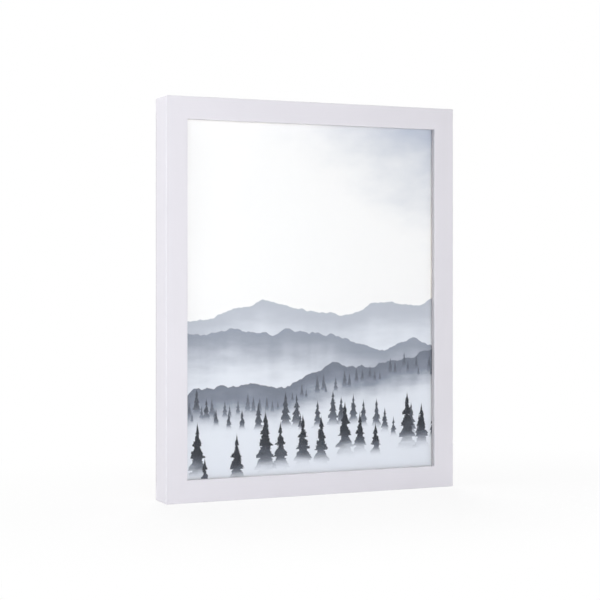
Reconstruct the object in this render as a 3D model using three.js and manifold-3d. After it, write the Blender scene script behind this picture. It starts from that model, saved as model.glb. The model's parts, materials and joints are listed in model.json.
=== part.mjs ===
// A deep white wooden picture frame for a 280 x 356 mm picture: four mitred lengths of box moulding,
// glazing, print, mount board, spacers and a back panel held by swivelling turn buttons, and two
// ring hangers. Millimetres, +Z up, the picture faces -Y. The origin is the middle of the underside.
import * as THREE from "three";
import { mergeVertices } from "three/addons/utils/BufferGeometryUtils.js";
import Module from "manifold-3d";

const wasm = await Module();
wasm.setup();

// Picture and moulding
const PICTURE_WIDTH = 279.4;
const PICTURE_HEIGHT = 355.6;
const RABBET_CLEARANCE = 0.8; // between the picture's edge and the rabbet wall
const FACE_WIDTH = 21.6;
const MOULDING_DEPTH = 30.5;
const LIP_WIDTH = 6.4;
const LIP_THICKNESS = 5.8;
const FRONT_ARRIS_RADIUS = 0.5;
const SIGHT_ARRIS_RADIUS = 0.4;
const REAR_ARRIS_RADIUS = 0.8;
const CORNER_RADIUS = 1.5; // sanded outer tip of each mitre
const MITRE_GAP = 0.05; // each rail stops this far short of the mitre, along its length

// What lies in the rabbet, front to back
const STACK_GAP = 0.1;
const GLAZING_THICKNESS = 2;
const PRINT_THICKNESS = 0.3;
const MOUNT_BOARD_THICKNESS = 3;
const BACK_PANEL_THICKNESS = 3;
const BACK_PANEL_RECESS = 0.3; // below the rear of the moulding
const SPACER_WIDTH = 6;

// Corner nails, driven into the rear across each mitre
const NAIL_WING = 5;
const NAIL_STEEL = 0.6;
const NAIL_DEPTH = 10;
const NAIL_MARGIN = 2; // from the moulding's outer edge and from its rabbet
const NAIL_CLEARANCE = 0.15;
const NAIL_RECESS = 0.2; // below the rear of the moulding

// Round-head wood screws
const SCREW_SHANK_RADIUS = 1.45;
const SCREW_HEAD_RADIUS = 3.4;
const SCREW_HEAD_HEIGHT = 2.2;
const SCREW_HEAD_RIM = 0.7; // straight part of the head's side
const SCREW_LENGTH = 12;
const SCREW_POINT = 3;
const SCREW_CLEARANCE = 0.15;
const CROSS_LENGTH = 3.6;
const CROSS_WIDTH = 0.9;
const CROSS_DEPTH = 1.2;

// Turn buttons on the rear of the moulding
const SEAT_GAP = 0.2; // hardware stands this far off what carries it
const BUTTON_THICKNESS = 1.2;
const BUTTON_EYE_RADIUS = 5;
const BUTTON_TIP_RADIUS = 3.8;
const BUTTON_GRIP = 12; // reach of the tip over the back panel
const BUTTON_BORE_CLEARANCE = 0.3;
const STILE_BUTTON_INSET = 97; // from the frame's corners
const RAIL_BUTTON_INSET = 88;

// Ring hangers on the rear of the stiles
const RING_DROP = 136; // pivot below the top of the frame
const RING_OFFSET = 1; // pivot inwards of the middle of the stile's rear face
const RING_WIRE_RADIUS = 1;
const RING_INNER_WIDTH = 10;
const RING_HEIGHT = 11.5; // pivot to the middle of the wire at the bow
const RING_BEND_RADIUS = 2;
const RING_BORE_CLEARANCE = 0.25;
const RING_REST_GAP = 0.3; // the hanging ring's clearance to its strap
const STRAP_STEEL = 0.9; // folded double below the barrel
const STRAP_WIDTH = 8;
const STRAP_LENGTH = 22; // pivot to the lower end
const STRAP_SCREW_DROP = 16.8; // pivot to the screw

// Pads that keep the lower corners off the wall
const BUMPER_RADIUS = 5;
const BUMPER_TOP_RADIUS = 4.2;
const BUMPER_HEIGHT = 3;
const BUMPER_RIM = 0.8;
const BUMPER_INSET = 36; // from the frame's corners

// Facets
const ARC_STEPS = 2;
const ROUND_STEPS = 16;
const DOME_STEPS = 4;
const WIRE_SIDES = 8;
const RING_STEPS = 36;

// Worked out from the sizes above
const REAR_WIDTH = FACE_WIDTH - LIP_WIDTH;
const FRAME_WIDTH = PICTURE_WIDTH + 2 * (RABBET_CLEARANCE + REAR_WIDTH);
const FRAME_HEIGHT = PICTURE_HEIGHT + 2 * (RABBET_CLEARANCE + REAR_WIDTH);
const FRONT = -MOULDING_DEPTH / 2;
const REAR = MOULDING_DEPTH / 2;
const MIDDLE_HEIGHT = FRAME_HEIGHT / 2;
const REAR_MIDDLE = REAR_WIDTH / 2;
const RING_INSET = REAR_MIDDLE + RING_OFFSET;
const BUTTON_HEAD_SEAT = 2 * SEAT_GAP + BUTTON_THICKNESS;
const STRAP_HEAD_SEAT = 2 * SEAT_GAP + 2 * STRAP_STEEL;
const RING_BORE_RADIUS = RING_WIRE_RADIUS + RING_BORE_CLEARANCE;
const BARREL_RADIUS = RING_BORE_RADIUS + STRAP_STEEL;
const CUT_OVERRUN = 1; // cutters pass this far out of what they cut

// Finishes
const paint = (name, color, roughness, metalness) =>
  Object.assign(new THREE.MeshStandardMaterial({ color, roughness, metalness }), { name });
const whiteWood = paint("white_painted_wood", 0xe6e4ea, 0.45, 0);
const acrylic = paint("clear_acrylic", 0xf4f8fa, 0.05, 0);
acrylic.transparent = true;
acrylic.opacity = 0.2;
const photoPaper = paint("printed_paper", 0xc9d1dc, 0.6, 0);
const greyCard = paint("mount_card", 0xd8d5cc, 0.9, 0);
const rawWood = paint("raw_softwood", 0xd2b48a, 0.8, 0);
const hardboard = paint("brown_hardboard", 0x8a6444, 0.75, 0);
const zinc = paint("zinc_plated_steel", 0xb9bcc0, 0.35, 1);
const nickel = paint("nickel_plated_steel", 0xc8c4bc, 0.25, 1);
const rubber = paint("white_rubber", 0xdddcd8, 0.7, 0);

// Cuts and joins
function solidOf(geometry) {
  const bare = geometry.index ? geometry.toNonIndexed() : geometry.clone();
  bare.deleteAttribute("normal");
  bare.deleteAttribute("uv");
  const merged = mergeVertices(bare);
  return new wasm.Manifold(
    new wasm.Mesh({
      numProp: 3,
      vertProperties: merged.attributes.position.array,
      triVerts: new Uint32Array(merged.index.array),
    }),
  );
}

function geometryOf(solid) {
  const { vertProperties, triVerts } = solid.getMesh();
  const geometry = new THREE.BufferGeometry();
  geometry.setAttribute("position", new THREE.BufferAttribute(vertProperties, 3));
  geometry.setIndex(new THREE.BufferAttribute(triVerts, 1));
  geometry.computeVertexNormals();
  return geometry;
}

function cut(solid, cutters) {
  return cutters.reduce((left, cutter) => left.subtract(solidOf(cutter)), solid);
}

function named(name, geometry, material, position = [0, 0, 0]) {
  const mesh = new THREE.Mesh(geometry, material);
  mesh.name = name;
  mesh.position.set(...position);
  return mesh;
}

// A flat outline drawn in x and z, standing thickness high along +Y. The outline's y is -z.
function plate(outline, thickness) {
  const flat = new THREE.ExtrudeGeometry(outline, {
    depth: thickness,
    bevelEnabled: false,
    curveSegments: ROUND_STEPS / 2,
  });
  return flat.rotateX(-Math.PI / 2);
}

// The moulding's section: x runs inwards from the outer edge, y back from the front.
function mouldingSection() {
  const section = new THREE.Shape();
  section.absarc(FRONT_ARRIS_RADIUS, FRONT_ARRIS_RADIUS, FRONT_ARRIS_RADIUS, Math.PI, 1.5 * Math.PI);
  section.absarc(
    FACE_WIDTH - SIGHT_ARRIS_RADIUS,
    SIGHT_ARRIS_RADIUS,
    SIGHT_ARRIS_RADIUS,
    1.5 * Math.PI,
    2 * Math.PI,
  );
  section.lineTo(FACE_WIDTH, LIP_THICKNESS);
  section.lineTo(REAR_WIDTH, LIP_THICKNESS);
  section.lineTo(REAR_WIDTH, MOULDING_DEPTH);
  section.absarc(
    REAR_ARRIS_RADIUS,
    MOULDING_DEPTH - REAR_ARRIS_RADIUS,
    REAR_ARRIS_RADIUS,
    0.5 * Math.PI,
    Math.PI,
  );
  return section;
}

// A length of moulding with a mitre at each end. Its outer edge runs along +Z from the origin.
function mitredLength(length) {
  const rail = new THREE.ExtrudeGeometry(mouldingSection(), {
    depth: length,
    steps: 1,
    bevelEnabled: false,
    curveSegments: ARC_STEPS,
  });
  const points = rail.attributes.position;
  for (let i = 0; i < points.count; i++) {
    const setBack = points.getX(i) + MITRE_GAP;
    points.setZ(i, points.getZ(i) === 0 ? setBack : length - setBack);
  }
  return rail;
}

// The whole frame's outline with its sanded corners, as seen by a rail of this length.
function cornerTrim(length, across) {
  const r = CORNER_RADIUS;
  const outline = new THREE.Shape();
  outline.absarc(r, -r, r, 0.5 * Math.PI, Math.PI);
  outline.absarc(r, r - length, r, Math.PI, 1.5 * Math.PI);
  outline.absarc(across - r, r - length, r, 1.5 * Math.PI, 2 * Math.PI);
  outline.absarc(across - r, -r, r, 0, 0.5 * Math.PI);
  return plate(outline, MOULDING_DEPTH + 2 * CUT_OVERRUN).translate(0, -CUT_OVERRUN, 0);
}

// Corner nails: two wings of steel at a right angle, one along each rail, met on the mitre.
const nailInsets = { outer: NAIL_MARGIN, inner: REAR_WIDTH - NAIL_MARGIN - NAIL_WING };

function nailOutline(inset, grow, alongSign, start) {
  const steel = NAIL_STEEL / 2 + grow;
  const tip = NAIL_WING + grow;
  const corners = [
    [-steel, -steel],
    [tip, -steel],
    [tip, steel],
    [steel, steel],
    [steel, tip],
    [-steel, tip],
  ];
  const toOutline = ([x, z]) => new THREE.Vector2(inset + x, -(start + alongSign * (inset + z)));
  return new THREE.Shape(corners.map(toOutline));
}

function nailSlots(length) {
  const depth = NAIL_DEPTH + NAIL_RECESS + NAIL_CLEARANCE;
  const slot = (inset, sign, start) =>
    plate(nailOutline(inset, NAIL_CLEARANCE, sign, start), depth + CUT_OVERRUN).translate(
      0,
      MOULDING_DEPTH - depth,
      0,
    );
  return Object.values(nailInsets).flatMap((inset) => [slot(inset, 1, 0), slot(inset, -1, length)]);
}

function cornerNail(name, inset) {
  const nail = plate(nailOutline(inset, 0, 1, 0), NAIL_DEPTH);
  return named(name, nail, zinc, [0, MOULDING_DEPTH - NAIL_RECESS - NAIL_DEPTH, 0]);
}

// Wood screws: y runs out of the wood and 0 is the underside of the head.
function screwGeometry() {
  const profile = new THREE.Path();
  profile.moveTo(0, -SCREW_LENGTH);
  profile.lineTo(SCREW_SHANK_RADIUS, SCREW_POINT - SCREW_LENGTH);
  profile.lineTo(SCREW_SHANK_RADIUS, 0);
  profile.lineTo(SCREW_HEAD_RADIUS, 0);
  profile.lineTo(SCREW_HEAD_RADIUS, SCREW_HEAD_RIM);
  profile.absellipse(
    0,
    SCREW_HEAD_RIM,
    SCREW_HEAD_RADIUS,
    SCREW_HEAD_HEIGHT - SCREW_HEAD_RIM,
    0,
    0.5 * Math.PI,
  );
  const turned = new THREE.LatheGeometry(profile.getPoints(DOME_STEPS / 2), ROUND_STEPS);
  const slot = (width, length) =>
    new THREE.BoxGeometry(width, CROSS_DEPTH + CUT_OVERRUN, length).translate(
      0,
      SCREW_HEAD_HEIGHT + (CUT_OVERRUN - CROSS_DEPTH) / 2,
      0,
    );
  const cross = solidOf(slot(CROSS_WIDTH, CROSS_LENGTH)).add(solidOf(slot(CROSS_LENGTH, CROSS_WIDTH)));
  return geometryOf(solidOf(turned).subtract(cross));
}

function pilotHole(inset, along, headSeat) {
  const depth = SCREW_LENGTH - headSeat + SCREW_CLEARANCE;
  const radius = SCREW_SHANK_RADIUS + SCREW_CLEARANCE;
  const hole = new THREE.CylinderGeometry(radius, radius, depth + CUT_OVERRUN, ROUND_STEPS);
  return hole.translate(inset, MOULDING_DEPTH + (CUT_OVERRUN - depth) / 2, along);
}

// Turn buttons: a pear-shaped steel plate that swivels on its screw. At rest the tip points inwards.
function buttonGeometry() {
  const reach = REAR_WIDTH - REAR_MIDDLE + RABBET_CLEARANCE + BUTTON_GRIP - BUTTON_TIP_RADIUS;
  const lean = Math.asin((BUTTON_EYE_RADIUS - BUTTON_TIP_RADIUS) / reach);
  const shoulder = Math.PI / 2 - lean;
  const outline = new THREE.Shape();
  outline.absarc(0, 0, BUTTON_EYE_RADIUS, shoulder, 2 * Math.PI - shoulder);
  outline.absarc(reach, 0, BUTTON_TIP_RADIUS, -shoulder, shoulder);
  const bore = new THREE.Path();
  bore.absarc(0, 0, SCREW_SHANK_RADIUS + BUTTON_BORE_CLEARANCE, 0, 2 * Math.PI, true);
  outline.holes.push(bore);
  return plate(outline, BUTTON_THICKNESS);
}

// One side of the frame in its own group: the moulding, the nails of its first corner and its buttons.
function frameSide({ name, length, across, buttons, extraHoles, corner, place, turn }) {
  const side = new THREE.Group();
  side.position.set(...place);
  side.rotation.y = turn;
  const holes = Object.values(buttons).map((along) => pilotHole(REAR_MIDDLE, along, BUTTON_HEAD_SEAT));
  const blank = solidOf(mitredLength(length)).intersect(solidOf(cornerTrim(length, across)));
  const rail = cut(blank, [...holes, ...extraHoles, ...nailSlots(length)]);
  side.add(named(name, geometryOf(rail), whiteWood));
  for (const [which, inset] of Object.entries(nailInsets)) {
    side.add(cornerNail(`corner_nail_${corner}_${which}`, inset));
  }
  for (const [which, along] of Object.entries(buttons)) {
    const buttonSeat = MOULDING_DEPTH + SEAT_GAP;
    const headSeat = MOULDING_DEPTH + BUTTON_HEAD_SEAT;
    side.add(named(`turn_button_${which}`, buttonGeometry(), zinc, [REAR_MIDDLE, buttonSeat, along]));
    side.add(named(`button_screw_${which}`, screwGeometry(), zinc, [REAR_MIDDLE, headSeat, along]));
  }
  return side;
}

// Ring hangers. The strap is folded round the ring's straight bar, which is the pivot.
function strapGeometry() {
  const foot = -BARREL_RADIUS;
  const back = foot + 2 * STRAP_STEEL;
  const profile = new THREE.Shape(); // x is up, y is out of the wall side of the frame
  profile.moveTo(-STRAP_LENGTH, foot);
  profile.lineTo(0, foot);
  profile.absarc(0, 0, BARREL_RADIUS, -0.5 * Math.PI, Math.PI - Math.asin(back / BARREL_RADIUS));
  profile.lineTo(-STRAP_LENGTH, back);
  const bore = new THREE.Path();
  bore.absarc(0, 0, RING_BORE_RADIUS, 0, 2 * Math.PI, true);
  profile.holes.push(bore);
  const strap = new THREE.ExtrudeGeometry(profile, {
    depth: STRAP_WIDTH,
    bevelEnabled: false,
    curveSegments: ROUND_STEPS / 2,
  });
  // The section's x turns to +Z, its y stays, and its depth runs across.
  strap.translate(0, 0, -STRAP_WIDTH / 2).rotateY(-Math.PI / 2);
  const holeRadius = SCREW_SHANK_RADIUS + SCREW_CLEARANCE;
  const holeDepth = 2 * (STRAP_STEEL + CUT_OVERRUN);
  const hole = new THREE.CylinderGeometry(holeRadius, holeRadius, holeDepth, ROUND_STEPS);
  hole.translate(0, foot + STRAP_STEEL, -STRAP_SCREW_DROP);
  return geometryOf(cut(solidOf(strap), [hole]));
}

// The ring's centreline: a straight bar, two tight bends and a bow, as a curve in x and z.
class RingLine extends THREE.Curve {
  constructor() {
    super();
    const half = RING_INNER_WIDTH / 2 + RING_WIRE_RADIUS;
    const bend = RING_BEND_RADIUS;
    this.outline = new THREE.Path();
    this.outline.moveTo(0, 0);
    this.outline.absarc(half - bend, -bend, bend, 0.5 * Math.PI, 0, true);
    this.outline.absellipse(0, -bend, half, RING_HEIGHT - bend, 0, -Math.PI, true);
    this.outline.absarc(bend - half, -bend, bend, Math.PI, 0.5 * Math.PI, true);
    this.outline.lineTo(0, 0);
  }

  getPoint(t, target = new THREE.Vector3()) {
    const { x, y } = this.outline.getPointAt(t);
    return target.set(x, 0, y);
  }
}

function ringGeometry() {
  return new THREE.TubeGeometry(new RingLine(), RING_STEPS, RING_WIRE_RADIUS, WIRE_SIDES, true);
}

function ringHanger(which, x) {
  const pivotHeight = SEAT_GAP + BARREL_RADIUS;
  const strapTop = SEAT_GAP + 2 * STRAP_STEEL;
  const lift = strapTop + RING_REST_GAP + RING_WIRE_RADIUS - pivotHeight;
  const hanger = new THREE.Group();
  hanger.position.set(x, REAR + pivotHeight, FRAME_HEIGHT - RING_DROP);
  hanger.add(named(`hanger_strap_${which}`, strapGeometry(), nickel));
  const ring = named(`hanger_ring_${which}`, ringGeometry(), nickel);
  ring.rotation.x = Math.asin(lift / RING_HEIGHT);
  hanger.add(ring);
  const headSeat = STRAP_HEAD_SEAT - pivotHeight;
  hanger.add(named(`hanger_screw_${which}`, screwGeometry(), nickel, [0, headSeat, -STRAP_SCREW_DROP]));
  return hanger;
}

function bumperGeometry() {
  const profile = [
    [0, 0],
    [BUMPER_RADIUS, 0],
    [BUMPER_RADIUS, BUMPER_RIM],
    [BUMPER_TOP_RADIUS, BUMPER_HEIGHT],
    [0, BUMPER_HEIGHT],
  ].map(([r, y]) => new THREE.Vector2(r, y));
  return new THREE.LatheGeometry(profile, ROUND_STEPS);
}

// Sheets and spacers in the rabbet, each laid on the one before it.
function rabbetStack() {
  const stack = new THREE.Group();
  stack.position.set(0, FRONT + LIP_THICKNESS, MIDDLE_HEIGHT);
  let depth = 0;
  const lay = (thickness) => {
    const middle = depth + STACK_GAP + thickness / 2;
    depth += STACK_GAP + thickness;
    return middle;
  };
  const sheet = (name, thickness, material) =>
    stack.add(
      named(name, new THREE.BoxGeometry(PICTURE_WIDTH, thickness, PICTURE_HEIGHT), material, [
        0,
        lay(thickness),
        0,
      ]),
    );
  sheet("glazing", GLAZING_THICKNESS, acrylic);
  sheet("print", PRINT_THICKNESS, photoPaper);
  sheet("mount_board", MOUNT_BOARD_THICKNESS, greyCard);
  const rabbetDepth = MOULDING_DEPTH - LIP_THICKNESS;
  const panelRoom = BACK_PANEL_RECESS + BACK_PANEL_THICKNESS + STACK_GAP;
  const spacerDepth = rabbetDepth - panelRoom - depth - STACK_GAP;
  const spacerMiddle = lay(spacerDepth);
  const upright = new THREE.BoxGeometry(SPACER_WIDTH, spacerDepth, PICTURE_HEIGHT);
  const crossLength = PICTURE_WIDTH - 2 * (SPACER_WIDTH + STACK_GAP);
  const cross = new THREE.BoxGeometry(crossLength, spacerDepth, SPACER_WIDTH);
  const spacerX = (PICTURE_WIDTH - SPACER_WIDTH) / 2;
  const spacerZ = (PICTURE_HEIGHT - SPACER_WIDTH) / 2;
  stack.add(named("spacer_left", upright, rawWood, [-spacerX, spacerMiddle, 0]));
  stack.add(named("spacer_right", upright, rawWood, [spacerX, spacerMiddle, 0]));
  stack.add(named("spacer_top", cross, rawWood, [0, spacerMiddle, spacerZ]));
  stack.add(named("spacer_bottom", cross, rawWood, [0, spacerMiddle, -spacerZ]));
  sheet("back_panel", BACK_PANEL_THICKNESS, hardboard);
  return stack;
}

// The assembly
const half = FRAME_WIDTH / 2;
const strapScrewHeight = FRAME_HEIGHT - RING_DROP - STRAP_SCREW_DROP;
const frame = new THREE.Group();
frame.name = "picture_frame";
const sides = [
  {
    name: "left_stile",
    length: FRAME_HEIGHT,
    across: FRAME_WIDTH,
    buttons: { left_lower: STILE_BUTTON_INSET, left_upper: FRAME_HEIGHT - STILE_BUTTON_INSET },
    extraHoles: [pilotHole(RING_INSET, strapScrewHeight, STRAP_HEAD_SEAT)],
    corner: "bottom_left",
    place: [-half, FRONT, 0],
    turn: 0,
  },
  {
    name: "bottom_rail",
    length: FRAME_WIDTH,
    across: FRAME_HEIGHT,
    buttons: { bottom_right: RAIL_BUTTON_INSET, bottom_left: FRAME_WIDTH - RAIL_BUTTON_INSET },
    extraHoles: [],
    corner: "bottom_right",
    place: [half, FRONT, 0],
    turn: -Math.PI / 2,
  },
  {
    name: "right_stile",
    length: FRAME_HEIGHT,
    across: FRAME_WIDTH,
    buttons: { right_upper: STILE_BUTTON_INSET, right_lower: FRAME_HEIGHT - STILE_BUTTON_INSET },
    extraHoles: [pilotHole(RING_INSET, FRAME_HEIGHT - strapScrewHeight, STRAP_HEAD_SEAT)],
    corner: "top_right",
    place: [half, FRONT, FRAME_HEIGHT],
    turn: Math.PI,
  },
  {
    name: "top_rail",
    length: FRAME_WIDTH,
    across: FRAME_HEIGHT,
    buttons: { top_left: RAIL_BUTTON_INSET, top_right: FRAME_WIDTH - RAIL_BUTTON_INSET },
    extraHoles: [],
    corner: "top_left",
    place: [-half, FRONT, FRAME_HEIGHT],
    turn: Math.PI / 2,
  },
];
for (const side of sides) frame.add(frameSide(side));
frame.add(rabbetStack());
for (const [which, sign] of [
  ["left", -1],
  ["right", 1],
]) {
  frame.add(ringHanger(which, sign * (half - RING_INSET)));
  const bumperX = sign * (half - BUMPER_INSET);
  frame.add(
    named(`wall_bumper_${which}`, bumperGeometry(), rubber, [bumperX, REAR + SEAT_GAP, REAR_MIDDLE]),
  );
}

export default frame;
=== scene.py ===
"""Finished looks of a deep white wooden picture frame, laid out as an add-on and run as a script."""

import json
import math
from collections import namedtuple

import bmesh
import bpy
from bpy.props import FloatProperty, FloatVectorProperty, IntProperty, PointerProperty
from mathutils import Matrix, Vector


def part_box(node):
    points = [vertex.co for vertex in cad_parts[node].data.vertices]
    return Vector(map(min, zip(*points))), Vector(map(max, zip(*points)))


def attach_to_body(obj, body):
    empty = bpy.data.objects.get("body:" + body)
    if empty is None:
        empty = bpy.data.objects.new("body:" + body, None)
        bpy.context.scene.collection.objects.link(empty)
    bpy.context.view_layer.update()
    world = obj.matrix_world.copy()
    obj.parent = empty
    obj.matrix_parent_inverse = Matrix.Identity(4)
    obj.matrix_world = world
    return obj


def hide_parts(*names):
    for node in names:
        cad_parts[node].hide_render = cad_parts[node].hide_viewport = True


bl_info = {
    "name": "Picture frame",
    "version": (1, 0, 0),
    "blender": (4, 5, 0),
    "location": "3D View > Sidebar > Picture frame",
    "description": "Finishes a mitred wooden picture frame with its glazing, print, backing and hardware",
    "category": "Object",
}

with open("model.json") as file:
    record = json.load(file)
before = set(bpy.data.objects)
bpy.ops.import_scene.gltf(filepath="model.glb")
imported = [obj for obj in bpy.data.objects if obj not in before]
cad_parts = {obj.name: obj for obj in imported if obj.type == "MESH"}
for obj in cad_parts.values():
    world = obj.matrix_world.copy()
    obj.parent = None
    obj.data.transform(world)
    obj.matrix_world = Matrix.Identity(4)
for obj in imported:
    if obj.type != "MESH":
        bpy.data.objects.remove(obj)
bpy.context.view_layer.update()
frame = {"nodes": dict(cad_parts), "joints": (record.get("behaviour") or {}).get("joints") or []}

MM = 0.001
QUARTER_TURN = math.pi / 2
ALONG_X, ALONG_Z = 0, 2
WHITE = (1, 1, 1, 1)


def nodes_named(prefix):
    """CAD nodes whose names start alike."""
    return [name for name in frame["nodes"] if name.startswith(prefix)]


def middle_of(node):
    """Middle of a CAD node's box."""
    low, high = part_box(node)
    return (low + high) / 2


def extent_of(node):
    """Size of a CAD node's box along each axis."""
    low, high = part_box(node)
    return high - low


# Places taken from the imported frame
BODY = "frame"
LEFT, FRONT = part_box("left_stile")[0].xy
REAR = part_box("left_stile")[1].y
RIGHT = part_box("right_stile")[1].x
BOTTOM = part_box("bottom_rail")[0].z
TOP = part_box("top_rail")[1].z
WIDTH, HEIGHT = RIGHT - LEFT, TOP - BOTTOM
MIDDLE = Vector((0, 0, (BOTTOM + TOP) / 2))
SPOTS = {joint["child"]: Vector(joint["pos_m"]) for joint in frame["joints"]}
BUTTONS = [body for body in SPOTS if body.startswith("button_")]
RINGS = [body for body in SPOTS if body.startswith("ring_")]
NAILS = nodes_named("corner_nail_")
BUTTON_SCREWS = nodes_named("button_screw_")
HANGER_SCREWS = nodes_named("hanger_screw_")
BUMPERS = nodes_named("wall_bumper_")
SPACERS = nodes_named("spacer_")


def length(name, description, default):
    """A size in metres that a user may change."""
    return FloatProperty(
        name=name, description=description, default=default, min=0, unit="LENGTH", precision=5
    )


def tint(name, description, default):
    """A linear colour that a user may change."""
    return FloatVectorProperty(
        name=name, description=description, default=default, min=0, max=1, size=3, subtype="COLOR"
    )


def power(name, description, default):
    """A lamp's watts that a user may change."""
    return FloatProperty(name=name, description=description, default=default, min=0, unit="POWER")


class MouldingSettings(bpy.types.PropertyGroup):
    """Section and finish of the moulding."""

    face_width: length("Face width", "Width of the moulding seen from the front", extent_of("left_stile").x)
    depth: length("Depth", "Depth of the moulding from front to back", REAR - FRONT)
    lip_width: length("Lip width", "How far the lip covers the glazing", 6.4 * MM)
    lip_thickness: length("Lip thickness", "Thickness of the lip in front of the glazing", 5.8 * MM)
    front_arris: length("Front arris", "Radius of the outer front edge", 0.5 * MM)
    sight_arris: length("Sight arris", "Radius of the edge round the picture", 0.4 * MM)
    lip_arris: length("Lip arris", "Radius of the lip's rear edge", 0.2 * MM)
    rear_arris: length("Rear arris", "Radius of the outer rear edge", 0.8 * MM)
    corner_radius: length("Corner radius", "Radius of the sanded tip of each mitre", 1.5 * MM)
    mitre_gap: length("Mitre gap", "How far each length stops short of the mitre", 0.02 * MM)
    paint: tint("Paint", "Colour of the satin paint", (0.765, 0.75, 0.803))
    # Painted shade, darker than the paint, on the stiles' sight edges
    sight_shade: tint("Sight paint", "Thin coat on the sight edge", (0.45, 0.44, 0.47))
    # A greyer band along the rear of the stiles' outer sides
    rear_band_grey: tint("Faded paint", "Thin coat at the rear of the sides", (0.655, 0.645, 0.685))
    pale_wood: tint("Pale wood", "Early wood of the unpainted rear", (0.64, 0.48, 0.305))
    dark_wood: tint("Dark wood", "Late wood of the unpainted rear", (0.49, 0.335, 0.185))


class PictureSettings(bpy.types.PropertyGroup):
    """Colours of the print, the card and the panel behind it."""

    sky: tint("Sky", "Pale part of the printed sky", (0.975, 0.98, 0.985))
    cloud: tint("Cloud", "Grey blue of the cloud in one corner", (0.44, 0.50, 0.62))
    fog: tint("Fog", "Mist between the printed hills", (0.79, 0.83, 0.90))
    slate: tint("Slate", "Middle tone of the printed hills", (0.26, 0.295, 0.37))
    ink: tint("Ink", "Darkest printed tone", (0.007, 0.010, 0.019))
    card: tint("Card", "Mount board", (0.70, 0.68, 0.61))
    panel: tint("Panel", "Hardboard back panel", (0.24, 0.14, 0.072))
    panel_fibre: tint("Panel fibre", "Paler fibres in the hardboard", (0.37, 0.235, 0.13))
    sheet_edge: length("Sheet edge", "Easing of the rims of the glazing, board, spacers and panel", 0.3 * MM)
    sheet_corner: length("Sheet corner", "Radius of their corners", 0.8 * MM)


class HardwareSettings(bpy.types.PropertyGroup):
    """Sizes and finishes of the metal and rubber parts."""

    zinc: tint("Zinc", "Zinc plate on buttons, their screws and the nails", (0.46, 0.47, 0.495))
    nickel: tint("Nickel", "Nickel plate on the hangers", (0.56, 0.53, 0.47))
    rubber: tint("Rubber", "White rubber of the bumpers", (0.72, 0.71, 0.68))
    nail_steel: length("Nail steel", "Thickness of a corner nail", 0.6 * MM)
    clearance: length("Clearance", "Room round a nail or screw in the wood", 0.15 * MM)
    shank_radius: length("Shank radius", "Radius of a wood screw", 1.45 * MM)
    head_radius: length("Head radius", "Radius of a screw's head", 3.4 * MM)
    head_height: length("Head height", "Height of a screw's head", 2.2 * MM)
    screw_length: length("Screw length", "Underside of the head to the point", 12.0 * MM)
    button_eye: length("Button eye", "Radius of a turn button round its screw", 5.0 * MM)
    button_tip: length("Button tip", "Radius of a turn button's tip", 3.8 * MM)
    button_edge: length("Button edge", "Rounding of a turn button's rim", 0.3 * MM)
    button_play: length("Button play", "Room round the screw in a turn button", 0.3 * MM)
    ring_wire: length("Ring wire", "Radius of the hanger ring's wire", 1.0 * MM)
    ring_half_width: length("Ring half width", "Half the ring's width between wire centres", 6.0 * MM)
    ring_height: length("Ring height", "Pivot to the bow's wire centre", 11.5 * MM)
    ring_bend: length("Ring bend", "Radius of the bends beside the straight bar", 2.0 * MM)
    strap_steel: length("Strap steel", "Thickness of one leaf of the folded strap", 0.9 * MM)
    strap_width: length("Strap width", "Width of the folded strap", 8.0 * MM)
    strap_bore: length("Strap bore", "Radius inside the fold", 1.25 * MM)
    strap_seam: length("Strap seam", "Gap between the two leaves of a strap", 0.06 * MM)
    strap_edge: length("Strap edge", "Easing of the strap's edges", 0.12 * MM)
    spin_seed: IntProperty(name="Spin seed", description="Seed for how far each screw was turned", default=7)


class StageSettings(bpy.types.PropertyGroup):
    """Light and floor of the studio."""

    front_power: power("Front", "Soft lamp before the picture", 8.6)
    side_power: power("Side", "Soft lamp at the left", 14.2)
    fill_power: power("Fill", "Soft lamp at the right", 7)
    rear_power: power("Rear", "Soft lamp behind the frame", 40)
    world_level: FloatProperty(name="Surround", description="Even light from all round", default=0.265, min=0)
    floor: tint("Floor", "Pale studio floor", (0.86, 0.86, 0.86))


def math_operator(operation, reflected=False):
    """A Python operator of a wire that adds a Math node."""
    def operator(wire, value):
        values = (value, wire) if reflected else (wire, value)
        return wire.graph.maths(operation, *values)

    return operator


class Wire:
    """A node's output. Python's operators on it add Math nodes to its tree."""

    def __init__(self, graph, socket):
        self.graph = graph
        self.socket = socket

    def other(self, output):
        """Another output of the same node."""
        return Wire(self.graph, self.socket.node.outputs[output])

    def __abs__(self):
        return self.graph.maths("ABSOLUTE", self)

    __add__ = math_operator("ADD")
    __radd__ = math_operator("ADD", reflected=True)
    __sub__ = math_operator("SUBTRACT")
    __rsub__ = math_operator("SUBTRACT", reflected=True)
    __mul__ = math_operator("MULTIPLY")
    __rmul__ = math_operator("MULTIPLY", reflected=True)
    __truediv__ = math_operator("DIVIDE")
    __rtruediv__ = math_operator("DIVIDE", reflected=True)
    __pow__ = math_operator("POWER")
    __rpow__ = math_operator("POWER", reflected=True)
    __lt__ = math_operator("LESS_THAN")
    __gt__ = math_operator("GREATER_THAN")


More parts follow.
